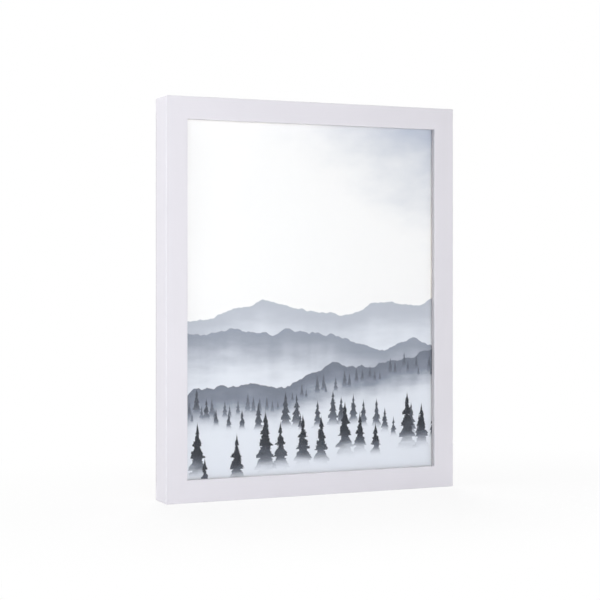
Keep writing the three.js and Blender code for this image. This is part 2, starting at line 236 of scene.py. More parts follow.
class Graph:
    """A node tree that is filled by code."""

    def __init__(self, tree):
        self.tree = tree

    def node(self, kind, settings=None, sockets=None, output=0):
        """Adds a node, sets it up, feeds its sockets and returns one of its outputs.

        The setting choices is the number of items of an Index Switch.
        """
        node = self.tree.nodes.new(kind)
        for name, value in (settings or {}).items():
            if name == "choices":
                while len(node.index_switch_items) < value:
                    node.index_switch_items.new()
            else:
                setattr(node, name, value)
        for key, value in (sockets or {}).items():
            for one in value if isinstance(value, list) else [value]:
                if isinstance(one, Wire):
                    self.tree.links.new(one.socket, node.inputs[key])
                else:
                    node.inputs[key].default_value = one
        return Wire(self, node.outputs[output]) if node.outputs else None

    def maths(self, operation, *values):
        """A Math node on numbers or wires."""
        return self.node("ShaderNodeMath", {"operation": operation}, dict(enumerate(values)))

    def larger(self, first, second):
        """The larger of two values."""
        return self.maths("MAXIMUM", first, second)

    def vector(self, x, y, z):
        """Three values joined into a vector."""
        return self.node("ShaderNodeCombineXYZ", sockets={0: x, 1: y, 2: z})

    def split(self, vector):
        """The three values of a vector."""
        first = self.node("ShaderNodeSeparateXYZ", sockets={0: vector})
        return first, first.other(1), first.other(2)


# Noise, with its scale in patches to a unit of length
Speckle = namedtuple("Speckle", "scale detail roughness", defaults=(2.0, 0.5))
# Noise that is drawn out along one axis, as in wood and drawn steel
Streak = namedtuple("Streak", "across along detail", defaults=(4.0,))
STREAK_ROUGHNESS = 0.6
# The range of a surface's roughness, with the depth and the strength of its relief
Feel = namedtuple("Feel", "smooth rough relief strength")
# Sockets of the Mix node in its colour form
MIX_FACTOR, MIX_A, MIX_B, MIX_RESULT = 0, 6, 7, 2


class Shader(Graph):
    """The node tree of a material."""

    def place(self):
        """Where the shaded point is, in the frame's own metres."""
        return self.node("ShaderNodeTexCoord", output="Object")

    def scaled(self, vector, factors):
        """A vector times a factor for each axis."""
        return self.node("ShaderNodeVectorMath", {"operation": "MULTIPLY"}, {0: vector, 1: factors})

    def noise(self, vector, scale, detail, roughness):
        """Noise at a place."""
        sockets = {"Vector": vector, "Scale": scale, "Detail": detail, "Roughness": roughness}
        return self.node("ShaderNodeTexNoise", {"noise_dimensions": "3D"}, sockets)

    def profile(self, along, scale, detail, roughness):
        """Noise along one line."""
        sockets = {"W": along, "Scale": scale, "Detail": detail, "Roughness": roughness}
        return self.node("ShaderNodeTexNoise", {"noise_dimensions": "1D"}, sockets)

    def speckle(self, kind):
        """Noise all through the piece."""
        return self.noise(self.place(), *kind)

    def streaks(self, kind, along):
        """Noise through the piece, drawn out along one axis."""
        factors = [kind.across] * 3
        factors[along] = kind.along
        drawn_out = self.scaled(self.place(), tuple(factors))
        return self.noise(drawn_out, scale=1.0, detail=kind.detail, roughness=STREAK_ROUGHNESS)

    def weighed(self, first, second, share):
        """A share of the first value and the rest of the second."""
        return first * share + second * (1 - share)

    def ease(self, value, start, end):
        """0 before start, 1 after end and smooth between them."""
        sockets = {"Value": value, "From Min": start, "From Max": end}
        return self.node("ShaderNodeMapRange", {"interpolation_type": "SMOOTHSTEP"}, sockets)

    def spread(self, value, low, high):
        """Values from 0 to 1 laid between low and high."""
        return self.node("ShaderNodeMapRange", sockets={"Value": value, "To Min": low, "To Max": high})

    def mix(self, factor, a, b):
        """Colour a where the factor is 0 and colour b where it is 1."""
        sockets = {MIX_FACTOR: factor, MIX_A: a, MIX_B: b}
        return self.node("ShaderNodeMix", {"data_type": "RGBA"}, sockets, MIX_RESULT)

    def bump(self, height, feel):
        """A normal that follows a height."""
        sockets = {"Height": height, "Distance": feel.relief, "Strength": feel.strength}
        return self.node("ShaderNodeBump", sockets=sockets)

    def surface(self, **sockets):
        """A Principled shader; an underscore in a socket's name stands for a space."""
        named = {name.replace("_", " "): value for name, value in sockets.items()}
        return self.node("ShaderNodeBsdfPrincipled", sockets=named)

    def skin(self, colour, wear, height, feel, **constants):
        """A surface whose roughness follows its wear and whose relief follows a height."""
        return self.surface(
            Base_Color=colour,
            Roughness=self.spread(wear, feel.smooth, feel.rough),
            Normal=self.bump(height, feel),
            **constants,
        )


# Points closer than this are one point
SAME_POINT = 0.001 * MM
ARRIS_STEPS = 6
HOLE_SIDES = 32
CREASE = math.radians(32)


class SolidTree(Graph):
    """A geometry node tree that makes a closed solid from named sizes."""

    SOCKETS = {
        "size": "NodeSocketFloat",
        "count": "NodeSocketInt",
        "vector": "NodeSocketVector",
        "object": "NodeSocketObject",
        "material": "NodeSocketMaterial",
        "geometry": "NodeSocketGeometry",
    }

    def __init__(self, name, **inputs):
        super().__init__(bpy.data.node_groups.new(name, "GeometryNodeTree"))
        self.identifiers = {}
        for label, kind in {**inputs, "finish": "material"}.items():
            socket = self.tree.interface.new_socket(label, in_out="INPUT", socket_type=self.SOCKETS[kind])
            self.identifiers[label] = socket.identifier
        self.tree.interface.new_socket("solid", in_out="OUTPUT", socket_type=self.SOCKETS["geometry"])
        self.entry = self.tree.nodes.new("NodeGroupInput")

    def given(self, label):
        """The value of a named input."""
        return Wire(self, self.entry.outputs[label])

    def sizes(self, *labels):
        """The values of several named inputs."""
        return [self.given(label) for label in labels]

    def rotation(self, x, y, z):
        """A rotation by an angle about each axis."""
        return self.node("FunctionNodeEulerToRotation", sockets={0: self.vector(x, y, z)})

    def turned(self, solid, x=0.0, y=0.0, z=0.0):
        """A solid turned about the origin."""
        sockets = {"Geometry": solid, "Rotation": self.rotation(x, y, z)}
        return self.node("GeometryNodeTransform", sockets=sockets)

    def moved(self, solid, x=0.0, y=0.0, z=0.0):
        """A solid moved along the axes."""
        sockets = {"Geometry": solid, "Translation": self.vector(x, y, z)}
        return self.node("GeometryNodeTransform", sockets=sockets)

    def placed(self, solid, label):
        """A solid moved to the place that a named input gives."""
        return self.moved(solid, *self.split(self.given(label)))

    def joined(self, *solids):
        """Several solids as one mesh, with nothing merged."""
        return self.node("GeometryNodeJoinGeometry", sockets={0: list(solids)})

    def switch(self, kind, choices):
        """The choice whose number is the point's index."""
        sockets = {number + 1: choice for number, choice in enumerate(choices)}
        sockets[0] = self.node("GeometryNodeInputIndex")
        return self.node("GeometryNodeIndexSwitch", {"data_type": kind, "choices": len(choices)}, sockets)

    def outline(self, corners, radii, steps):
        """A flat face with each of its corners rounded to its own radius."""
        places = self.switch("VECTOR", [self.vector(x, y, 0.0) for x, y in corners])
        points = self.node("GeometryNodePoints", sockets={"Count": len(corners), "Position": places})
        open_curve = self.node("GeometryNodePointsToCurves", sockets={"Points": points})
        curve = self.node("GeometryNodeSetSplineCyclic", sockets={"Geometry": open_curve, "Cyclic": True})
        sockets = {"Curve": curve, "Count": steps, "Radius": self.switch("FLOAT", radii)}
        rounded = self.node("GeometryNodeFilletCurve", {"mode": "POLY"}, sockets)
        return self.node("GeometryNodeFillCurve", {"mode": "NGONS"}, {"Curve": rounded})

    def prism(self, face, height):
        """A flat face raised along Z into a closed solid."""
        sockets = {"Mesh": face, "Offset": self.vector(0.0, 0.0, height), "Individual": False}
        raised = self.node("GeometryNodeExtrudeMesh", {"mode": "FACES"}, sockets)
        base = self.node("GeometryNodeFlipFaces", sockets={"Mesh": face})
        return self.welded(self.joined(raised, base))

    def board(self, wide, tall, thick, radius):
        """An upright board with round corners. It lies from Y 0 forwards."""
        corners = [(0.0, 0.0), (wide, 0.0), (wide, tall), (0.0, tall)]
        face = self.outline(corners, [radius] * 4, ARRIS_STEPS)
        return self.turned(self.prism(face, thick), x=QUARTER_TURN)

    def welded(self, solid):
        """Joins points that lie on each other."""
        return self.node("GeometryNodeMergeByDistance", sockets={"Geometry": solid, "Distance": SAME_POINT})

    def hull(self, *shapes):
        """The convex solid round several shapes."""
        return self.node("GeometryNodeConvexHull", sockets={0: self.joined(*shapes)})

    def rings(self, profile, sides):
        """Circles about Z through (radius, height) pairs."""
        for radius, height in profile:
            circle = self.node("GeometryNodeMeshCircle", sockets={"Vertices": sides, "Radius": radius})
            yield self.moved(circle, z=height)

    def drill(self, radius, depth):
        """A round cutter along Z, centred on its middle."""
        sockets = {"Vertices": HOLE_SIDES, "Radius": radius, "Depth": depth}
        return self.node("GeometryNodeMeshCylinder", sockets=sockets)

    def boolean(self, operation, sockets):
        """A Mesh Boolean node with the exact solver."""
        settings = {"operation": operation, "solver": "EXACT"}
        return self.node("GeometryNodeMeshBoolean", settings, {**sockets, "Self Intersection": True})

    def combined(self, operation, *solids):
        """The union or the intersection of solids."""
        return self.boolean(operation, {"Mesh 2": list(solids)})

    def cut(self, solid, *cutters):
        """A solid without what its cutters take away."""
        return self.boolean("DIFFERENCE", {"Mesh 1": solid, "Mesh 2": list(cutters)})

    def seated(self, solid, spin=0.0):
        """A copy of a solid at each point of the input seats, with its Z axis out of the wood."""
        sockets = {
            "Points": self.given("seats"),
            "Instance": solid,
            "Rotation": self.rotation(-QUARTER_TURN, spin, 0.0),
        }
        return self.node("GeometryNodeInstanceOnPoints", sockets=sockets)

    def close(self, solid, crease=CREASE):
        """Smooths all but the sharp edges, sets the finish and sends the solid out."""
        real = self.node("GeometryNodeRealizeInstances", sockets={0: solid})
        smooth = self.node("GeometryNodeSetShadeSmooth", {"domain": "FACE"}, {"Geometry": real})
        angle = self.node("GeometryNodeInputMeshEdgeAngle")
        sharp = self.node("FunctionNodeCompare", {"operation": "GREATER_THAN"}, {0: angle, 1: crease})
        sockets = {"Geometry": smooth, "Selection": sharp, "Shade Smooth": False}
        shaded = self.node("GeometryNodeSetShadeSmooth", {"domain": "EDGE"}, sockets)
        sockets = {"Geometry": shaded, "Material": self.given("finish")}
        self.node("NodeGroupOutput", sockets={0: self.node("GeometryNodeSetMaterial", sockets=sockets)})
        return self


BEVEL_STEPS = 2
BEVEL_ANGLE = math.radians(40)


def piece_from(name, tree, mesh=None, bevel=0.0, **values):
    """A plain mesh object made by a geometry tree from these input values."""
    piece = bpy.data.objects.new(name, mesh or bpy.data.meshes.new(name))
    bpy.context.scene.collection.objects.link(piece)
    shape = piece.modifiers.new("Shape", "NODES")
    shape.node_group = tree.tree
    for label, value in values.items():
        shape[tree.identifiers[label]] = value
    if bevel:
        edge = piece.modifiers.new("Edge", "BEVEL")
        edge.width = bevel
        edge.segments = BEVEL_STEPS
        edge.angle_limit = BEVEL_ANGLE
    shading = piece.modifiers.new("Shading", "WEIGHTED_NORMAL")
    shading.keep_sharp = True
    depsgraph = bpy.context.evaluated_depsgraph_get()
    result = bpy.data.meshes.new_from_object(
        piece.evaluated_get(depsgraph), preserve_all_data_layers=True, depsgraph=depsgraph
    )
    if not result.polygons:
        raise RuntimeError(f"{name} came out empty")
    piece.modifiers.clear()
    result.name = name
    piece.data = result
    return piece


def points_mesh(name, points, loop=False):
    """Loose points, or one closed line through them."""
    mesh = bpy.data.meshes.new(name)
    count = len(points)
    edges = [(i, (i + 1) % count) for i in range(count)] if loop else []
    mesh.from_pydata(points, edges, [])
    return mesh


def face_mesh(name, corners):
    """One flat face."""
    mesh = bpy.data.meshes.new(name)
    mesh.from_pydata(corners, [], [range(len(corners))])
    return mesh


def attach(piece, body, slot, *nodes):
    """Lets a finished piece stand for CAD nodes on a body."""
    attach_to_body(piece, body)
    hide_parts(*nodes)


def dress(nodes, material):
    """Gives CAD nodes a finish and leaves their shape alone."""
    for name in nodes:
        for slot in frame["nodes"][name].material_slots:
            slot.material = material


def rgba(colour, share=1.0):
    """A colour, or a share of it, as a colour socket takes it."""
    return (*(share * channel for channel in colour), 1.0)


def material_of(name, paint, *details):
    """A material whose shader comes from a function of its node tree."""
    material = bpy.data.materials.new(name)
    material.use_nodes = True
    material.node_tree.nodes.clear()
    shader = Shader(material.node_tree)
    shader.node("ShaderNodeOutputMaterial", sockets={"Surface": paint(shader, *details)})
    return material


WOOD_RINGS = Streak(across=230, along=5, detail=3)
WOOD_FIBRES = Streak(across=1600, along=30, detail=2)
WOOD_TONES = 0.36, 0.66
PLANED = Feel(smooth=0.7, rough=0.85, relief=0.08 * MM, strength=0.5)


def bare_wood(shader, settings, along):
    """Colour and fibres of planed softwood."""
    rings = shader.streaks(WOOD_RINGS, along)
    fibres = shader.streaks(WOOD_FIBRES, along)
    tone = shader.ease(shader.weighed(rings, fibres, share=0.8), *WOOD_TONES)
    return shader.mix(tone, rgba(settings.pale_wood), rgba(settings.dark_wood)), fibres


def softwood(shader, settings, along):
    """The spacers' wood."""
    wood, fibres = bare_wood(shader, settings, along)
    return shader.skin(wood, fibres, fibres, PLANED)


# Where the stile's painted shade on its sight edge fades in behind the front, and where its greyer rear band
# lies before the rear and stops short of its ends
SIGHT_FADE = 0.3 * MM, 0.6 * MM
REAR_BAND = 3.6 * MM, 2.2 * MM
REAR_BAND_WANDER = 0.8 * MM
REAR_BAND_STOP, REAR_BAND_RUN = 8 * MM, 14 * MM
SIDE_SKIN = 1 * MM
# Room for rounding where a face is told by its place
HAIR = 0.05 * MM


def stile_shade_and_band(shader, settings, coat, drift):
    """The paint of a stile, with painted shade on its sight edge and a greyer band down the rear of its side.
    """
    x, y, z = shader.split(shader.place())
    inside = abs(x) < RIGHT - settings.face_width + HAIR
    sight = inside * shader.ease(y, *[FRONT + step for step in SIGHT_FADE])
    # Painted shade: a darker colour on the stile's sight edge, where the lip's inner side lies in shade.
    coat = shader.mix(sight, coat, rgba(settings.sight_shade))
    # A greyer band along the rear of the stile's outer side, stopping short of its ends.
    band = shader.ease(y + drift * REAR_BAND_WANDER, *[REAR - step for step in REAR_BAND])
    end = HEIGHT / 2 - REAR_BAND_STOP
    grey_band = band * (abs(x) > RIGHT - SIDE_SKIN) * shader.ease(abs(z - MIDDLE.z), end, end - REAR_BAND_RUN)
    return shader.mix(grey_band, coat, rgba(settings.rear_band_grey))


PAINT_BORDER = Speckle(scale=420, detail=3)
BORDER_WANDER = 0.5 * MM
BORDER_START, BORDER_END = -0.15 * MM, 0.1 * MM


def unpainted(shader, settings):
    """1 on the rear face and inside the rabbet, where the wood is bare."""
    x, y, z = shader.split(shader.place())
    wall = settings.face_width - settings.lip_width - settings.rear_arris
    across = (abs(x) < RIGHT - wall) * (abs(z - MIDDLE.z) < HEIGHT / 2 - wall)
    rabbet = across * (y > FRONT + settings.lip_thickness - 2 * HAIR)
    ragged = shader.speckle(PAINT_BORDER) * BORDER_WANDER
    return shader.larger(shader.ease(y + ragged, REAR + BORDER_START, REAR + BORDER_END), rabbet)


PAINT_GRAIN = Streak(across=900, along=16)
PAINT_DRIFT = Speckle(scale=9, detail=3)
PAINT_PEEL = Speckle(scale=1400, detail=1)
PAINT_TONES = 0.35, 0.65
THIN_PAINT, FULL_PAINT = 0.985, 1.01
SATIN = Feel(smooth=0.46, rough=0.58, relief=0.05 * MM, strength=0.35)
SATIN_GLOSS = 0.35
BARE_ROUGHNESS = 0.8
GRAIN_HEIGHT, PEEL_HEIGHT = 0.6, 0.25


def painted_wood(shader, settings, along):
    """Satin white paint over fine grain, with bare wood behind."""
    grain = shader.streaks(PAINT_GRAIN, along)
    drift = shader.speckle(PAINT_DRIFT)
    peel = shader.speckle(PAINT_PEEL)
    tone = shader.ease(shader.weighed(drift, grain, share=0.7), *PAINT_TONES)
    coat = shader.mix(tone, rgba(settings.paint, THIN_PAINT), rgba(settings.paint, FULL_PAINT))
    # Stiles also get painted shade on their sight edge and a greyer band along the rear of their sides.
    if along == ALONG_Z:
        coat = stile_shade_and_band(shader, settings, coat, drift)
    wood, fibres = bare_wood(shader, settings, along)
    bare = unpainted(shader, settings)
    painted = 1 - bare
    height = (grain * GRAIN_HEIGHT + peel * PEEL_HEIGHT) * painted + fibres * bare
    return shader.surface(
        Base_Color=shader.mix(bare, coat, wood),
        Roughness=shader.spread(drift, SATIN.smooth, SATIN.rough) * painted + bare * BARE_ROUGHNESS,
        Specular_IOR_Level=SATIN_GLOSS,
        Normal=shader.bump(height, SATIN),
    )


DRAWN_STEEL = Streak(across=2600, along=60, detail=3)
PLATE_CLOUD = Speckle(scale=160, detail=4)
PLATE_TONES = 0.3, 0.7
DULL_PLATE = 0.86
BRIGHT_PLATE, CLOUDED_PLATE = 0.08, 0.12
# How rough the plate is on each kind of part
NAIL_PLATE, BUTTON_PLATE, SCREW_PLATE, RING_PLATE, STRAP_PLATE = 0.40, 0.30, 0.28, 0.22, 0.26


def plated_steel(shader, colour, along, roughness):
    """Plated steel with drawn streaks and cloudy plating."""
    drawn = shader.streaks(DRAWN_STEEL, along)
    cloud = shader.speckle(PLATE_CLOUD)
    tone = shader.ease(shader.weighed(cloud, drawn, share=0.7), *PLATE_TONES)
    plate = shader.mix(tone, rgba(colour, DULL_PLATE), rgba(colour))
    wear = shader.weighed(cloud, drawn, share=0.5)
    smooth, rough = roughness - BRIGHT_PLATE, roughness + CLOUDED_PLATE
    feel = Feel(smooth, rough, relief=0.02 * MM, strength=0.3)
    return shader.skin(plate, wear, drawn, feel, Metallic=1.0)


DUST = Speckle(scale=60, detail=5)
CLEAN_GLOSS, DUSTY_GLOSS = 0.02, 0.08
LEAST_GLARE = 0.005
GLARE_RISE = 5.0


def clear_sheet(shader):
    """Acrylic with a coat that keeps reflections low, and a trace of dust in its gloss."""
    gloss = shader.spread(shader.speckle(DUST), CLEAN_GLOSS, DUSTY_GLOSS)
    mirror = shader.node("ShaderNodeBsdfAnisotropic", sockets={"Color": WHITE, "Roughness": gloss})
    through = shader.node("ShaderNodeBsdfTransparent", sockets={"Color": WHITE})
    facing = shader.node("ShaderNodeLayerWeight", output="Facing")
    share = LEAST_GLARE + (1 - LEAST_GLARE) * facing ** GLARE_RISE
    return shader.node("ShaderNodeMixShader", sockets={0: share, 1: through, 2: mirror})


# The print's forms, in shares of its height
Ridge = namedtuple("Ridge", "crest relief slope bumps seed tone fog")
RIDGES = (
    Ridge(crest=0.47, relief=0.16, slope=0.05, bumps=2.6, seed=3.1, tone=0.26, fog=0.13),
    Ridge(crest=0.39, relief=0.17, slope=-0.10, bumps=3.4, seed=8.7, tone=0.45, fog=0.15),
    Ridge(crest=0.29, relief=0.15, slope=0.12, bumps=4.3, seed=14.2, tone=0.66, fog=0.14),
)
Wood = namedtuple("Wood", "ground relief slope bumps height spacing seed tone")
WOODS = (
    Wood(ground=0.215, relief=0.10, slope=0.16, bumps=3, height=0.075, spacing=0.021, seed=2, tone=0.78),
    Wood(ground=0.120, relief=0.09, slope=-0.12, bumps=3, height=0.130, spacing=0.036, seed=5, tone=0.90),
    Wood(ground=0.010, relief=0.07, slope=0.10, bumps=3, height=0.215, spacing=0.064, seed=9, tone=1.0),
)
HILL_DETAIL, HILL_ROUGHNESS = 5, 0.52
RIDGE_EDGE = -0.0012, 0.0012
RIDGE_WISPS = 0.10


def hill_line(shader, along, form):
    """Height of a hill's edge along the print."""
    bumps = shader.profile(along + form.seed, form.bumps, HILL_DETAIL, HILL_ROUGHNESS)
    return form.slope * along + (bumps - 0.5) * form.relief


# Heights are shares of the tallest fir, widths of the drop from a fir's tip, and twigs of the spacing
SHORTEST_FIR, FIR_TIER, FIR_TIP = 0.45, 0.15, 0.25
FIR_SLIM, FIR_FLARE = 0.13, 0.09
FIR_SCATTER = 0.85
TWIG_SCALE, TWIG_DETAIL, TWIG_ROUGHNESS = 4.8, 4, 0.7
TWIG_REACH = 0.45
FIR_EDGE = -0.0008, 0.0012


def conifers(shader, side, up, wood, nearest):
    """The nearest or next fir of a row: how far it covers the point, and how high on it the point is."""
    cells = shader.node(
        "ShaderNodeTexVoronoi",
        {"voronoi_dimensions": "1D", "feature": nearest},
        {"W": side / wood.spacing + wood.seed, "Scale": 1.0, "Randomness": FIR_SCATTER},
        "W",
    )
    chance, layer, _ = shader.split(cells.other("Color"))
    stem = (cells - wood.seed) * wood.spacing
    tall = (SHORTEST_FIR + (1 - SHORTEST_FIR) * chance) * wood.height
    climb = up - wood.ground - hill_line(shader, stem, wood)
    drop = tall - climb
    tier = shader.maths("FRACT", drop / (FIR_TIER * wood.height))
    sprays = shader.vector(side, up, layer)
    twigs = shader.noise(sprays, TWIG_SCALE / wood.spacing, TWIG_DETAIL, TWIG_ROUGHNESS)
    ragged = (twigs - 0.5) * (TWIG_REACH * wood.spacing) * shader.ease(drop, 0.0, FIR_TIP * wood.height)
    half = drop * (FIR_SLIM + FIR_FLARE * tier) + ragged
    return shader.ease(half - abs(side - stem), *FIR_EDGE), climb / tall


BILLOWS = Speckle(scale=4, detail=5, roughness=0.55)
BILLOW_FLATNESS = 1.8
CLOUD_SLANT, CLOUD_BILLOW = 0.75, 0.35
CLOUD_SPAN = 0.86, 1.36
WISPS = Speckle(scale=7, detail=5, roughness=0.6)
WISP_FLATNESS, WISP_LAYER = 3.0, 4.0
GROUND_FOG = 0.02, -0.05
FOG_COVER = 0.2, 0.9
FIR_WISPS = 0.5
CLEAR_OF_FOG, SOLID_FIR, ROOTED_FIR = 0.62, 0.7, 0.42
FIR_TONES = 0.35, 1.0
PAPER_TOOTH = Speckle(scale=2400)
PAPER = Feel(smooth=0.5, rough=0.62, relief=0.01 * MM, strength=0.2)


def misty_hills(shader, settings):
    """A printed landscape of pale sky, hills in mist and rows of firs."""
    low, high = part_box("print")
    tall = high.z - low.z
    x, _, z = shader.split(shader.place())
    side = x / tall
    up = (z - low.z) / tall
    fog, slate, ink = rgba(settings.fog), rgba(settings.slate), rgba(settings.ink)

    def shade(depth):
        """Fog at 0, slate at a half and ink at 1."""
        return shader.mix(2 * depth - 1, shader.mix(2 * depth, fog, slate), ink)

    billow = shader.noise(shader.vector(side, up * BILLOW_FLATNESS, 0.0), *BILLOWS)
    dim = shader.ease(side * CLOUD_SLANT + up + (billow - 0.5) * CLOUD_BILLOW, *CLOUD_SPAN)
    picture = shader.mix(dim, rgba(settings.sky), rgba(settings.cloud))
    wisps = shader.noise(shader.vector(side, up * WISP_FLATNESS, WISP_LAYER), *WISPS)
    for ridge in RIDGES:
        below = ridge.crest + hill_line(shader, side, ridge) - up
        haze = shader.ease(below + (wisps - 0.5) * RIDGE_WISPS, 0.0, ridge.fog)
        picture = shader.mix(shader.ease(below, *RIDGE_EDGE), picture, shade((1 - haze) * ridge.tone))
    for wood in WOODS:
        height = up - wood.ground - hill_line(shader, side, wood)
        mist = shader.ease(height, *GROUND_FOG) * shader.spread(wisps, *FOG_COVER)
        picture = shader.mix(mist, picture, fog)
        for nearest in ("F2", "F1"):
            cover, share = conifers(shader, side, up, wood, nearest)
            clear = shader.ease(share + (wisps - 0.5) * FIR_WISPS, 0.0, CLEAR_OF_FOG)
            rooted = shader.ease(clear, 0.0, SOLID_FIR) * shader.ease(share, 0.0, ROOTED_FIR)
            fir = shade(shader.spread(clear, *FIR_TONES) * wood.tone)
            picture = shader.mix(cover * rooted, picture, fir)
    tooth = shader.speckle(PAPER_TOOTH)
    return shader.skin(picture, tooth, tooth, PAPER)


CARD_FIBRE = Speckle(scale=700, detail=5, roughness=0.65)
CARD_TONES = 0.35, 0.65
DULL_CARD = 0.9
CARD = Feel(smooth=0.85, rough=0.95, relief=0.05 * MM, strength=0.4)


def pulp_card(shader, settings):
    """Grey white mount board of pressed pulp."""
    fibre = shader.speckle(CARD_FIBRE)
    tone = shader.ease(fibre, *CARD_TONES)
    colour = shader.mix(tone, rgba(settings.card, DULL_CARD), rgba(settings.card))
    return shader.skin(colour, fibre, fibre, CARD)


FIBRE_LAYS = 5
FIBRE_TURN, FIBRE_LAYER = 0.3, 7.0
FIBRES = Streak(across=2100, along=330, detail=2)
BOARD_MOTTLE = Speckle(scale=20, detail=5, roughness=0.65)
BOARD_PRESS = Speckle(scale=2200, detail=3)
BOARD_WEAR = Speckle(scale=500, detail=4)
FIBRE_SHARE, PRESS_SHARE, MOTTLE_SHARE = 0.65, 0.18, 0.17
BOARD_TONES = 0.49, 0.71
MOST_WEAR, WORN_FIBRE = 0.5, 1.25
HARDBOARD = Feel(smooth=0.55, rough=0.8, relief=0.06 * MM, strength=0.4)
# How far inside the reach of a button's tip both edges of its rubbed arc fade
RUB_INSIDE = 3.2 * MM, 1.6 * MM
RUB_OUTSIDE = -0.2 * MM, 1.2 * MM
# Buttons whose places agree to this many digits share one arc
SPOT_DIGITS = 5


def crossed_fibres(shader):
    """Fibres that lie in several directions across the panel."""
    x, _, z = shader.split(shader.place())
    fibres = 0.0
    for lay in range(FIBRE_LAYS):
        angle = math.pi * (lay + FIBRE_TURN) / FIBRE_LAYS
        along = x * math.cos(angle) + z * math.sin(angle)
        across = z * math.cos(angle) - x * math.sin(angle)
        grid = shader.vector(along * FIBRES.along, across * FIBRES.across, FIBRE_LAYER * lay)
        fibres = shader.larger(fibres, shader.noise(grid, scale=1.0, detail=FIBRES.detail, roughness=0.5))
    return fibres


def rubbed_arcs(shader, reach):
    """1 where the tips of the turn buttons rub the panel."""
    x, _, z = shader.split(shader.place())
    side, rise = abs(x), abs(z - MIDDLE.z)
    corners = set()
    for body in BUTTONS:
        spot = SPOTS[body] - MIDDLE
        corners.add((round(abs(spot.x), SPOT_DIGITS), round(abs(spot.z), SPOT_DIGITS)))
    rub = 0.0
    for spot_side, spot_rise in sorted(corners):
        away = ((side - spot_side) ** 2 + (rise - spot_rise) ** 2) ** 0.5
        inner = shader.ease(away, *[reach - step for step in RUB_INSIDE])
        rub = rub + inner * shader.ease(away, *[reach - step for step in RUB_OUTSIDE])
    return rub


def pressed_fibre(shader, settings, reach):
    """Brown hardboard with pale fibres, and arcs where the turn buttons rub."""
    fibres = crossed_fibres(shader)
    press = shader.speckle(BOARD_PRESS)
    mottle = shader.speckle(BOARD_MOTTLE)
    tone = fibres * FIBRE_SHARE + press * PRESS_SHARE + mottle * MOTTLE_SHARE
    board = shader.mix(shader.ease(tone, *BOARD_TONES), rgba(settings.panel), rgba(settings.panel_fibre))
    worn = rubbed_arcs(shader, reach) * shader.spread(shader.speckle(BOARD_WEAR), 0.0, MOST_WEAR)
    colour = shader.mix(worn, board, rgba(settings.panel_fibre, WORN_FIBRE))
    return shader.skin(colour, fibres, fibres, HARDBOARD)


RUBBER_SKIN = Speckle(scale=1800, detail=3)
RUBBER_GRIME = Speckle(scale=300, detail=4)
GRIME_TONES = 0.5, 0.85
GRIMY_RUBBER = 0.92
RUBBER = Feel(smooth=0.55, rough=0.7, relief=0.03 * MM, strength=0.35)


def moulded_rubber(shader, settings):
    """White rubber with a little grime."""
    skin = shader.speckle(RUBBER_SKIN)
    grime = shader.ease(shader.speckle(RUBBER_GRIME), *GRIME_TONES)
    colour = shader.mix(grime, rgba(settings.rubber), rgba(settings.rubber, GRIMY_RUBBER))
    return shader.skin(colour, skin, skin, RUBBER)


# The settings that the moulding's tree takes under the same names
SECTION_SIZES = (
    "face_width", "depth", "lip_width", "lip_thickness", "front_arris", "sight_arris",
    "lip_arris", "rear_arris", "corner_radius", "mitre_gap",
)
# How far a cutter runs past what it cuts
OVERRUN = 1 * MM


def moulding_tree():
    """A length of moulding: X runs in from the outer edge, Y back from the front, Z along it."""
    tree = SolidTree(
        "Mitred moulding",
        length="size", across="size", corner="vector", turn="size", drilled="object",
        **dict.fromkeys(SECTION_SIZES, "size"),
    )
    long, across, face, deep = tree.sizes("length", "across", "face_width", "depth")
    lip, thick, gap = tree.sizes("lip_width", "lip_thickness", "mitre_gap")
    front, sight, edge, back = tree.sizes("front_arris", "sight_arris", "lip_arris", "rear_arris")
    wall = face - lip
    section = tree.outline(
        [(0.0, 0.0), (face, 0.0), (face, thick), (wall, thick), (wall, deep), (0.0, deep)],
        [front, sight, edge, 0.0, 0.5 * back, back],
        ARRIS_STEPS,
    )
    blank = tree.prism(section, long)
    x, y, z = tree.split(tree.node("GeometryNodeInputPosition"))
    set_back = x + gap
    mitred = tree.vector(x, y, set_back + z / long * (long - 2 * set_back))
    rail = tree.node("GeometryNodeSetPosition", sockets={"Geometry": blank, "Position": mitred})
    trim = tree.board(across, long, deep + 2 * OVERRUN, tree.given("corner_radius"))
    rail = tree.combined("INTERSECT", rail, tree.moved(trim, y=deep + OVERRUN))
    rail = tree.placed(tree.turned(rail, y=tree.given("turn")), "corner")
    drilled = {"Object": tree.given("drilled")}
    cutters = tree.node("GeometryNodeObjectInfo", sockets=drilled, output="Geometry")
    return tree.close(tree.welded(tree.cut(rail, cutters)))


PILOT_SIDES = 24


def box_between(shape, low, high):
    """Adds a box from its low to its high corner."""
    size = Matrix.Diagonal((*(high - low), 1))
    bmesh.ops.create_cube(shape, size=1, matrix=Matrix.Translation((low + high) / 2) @ size)


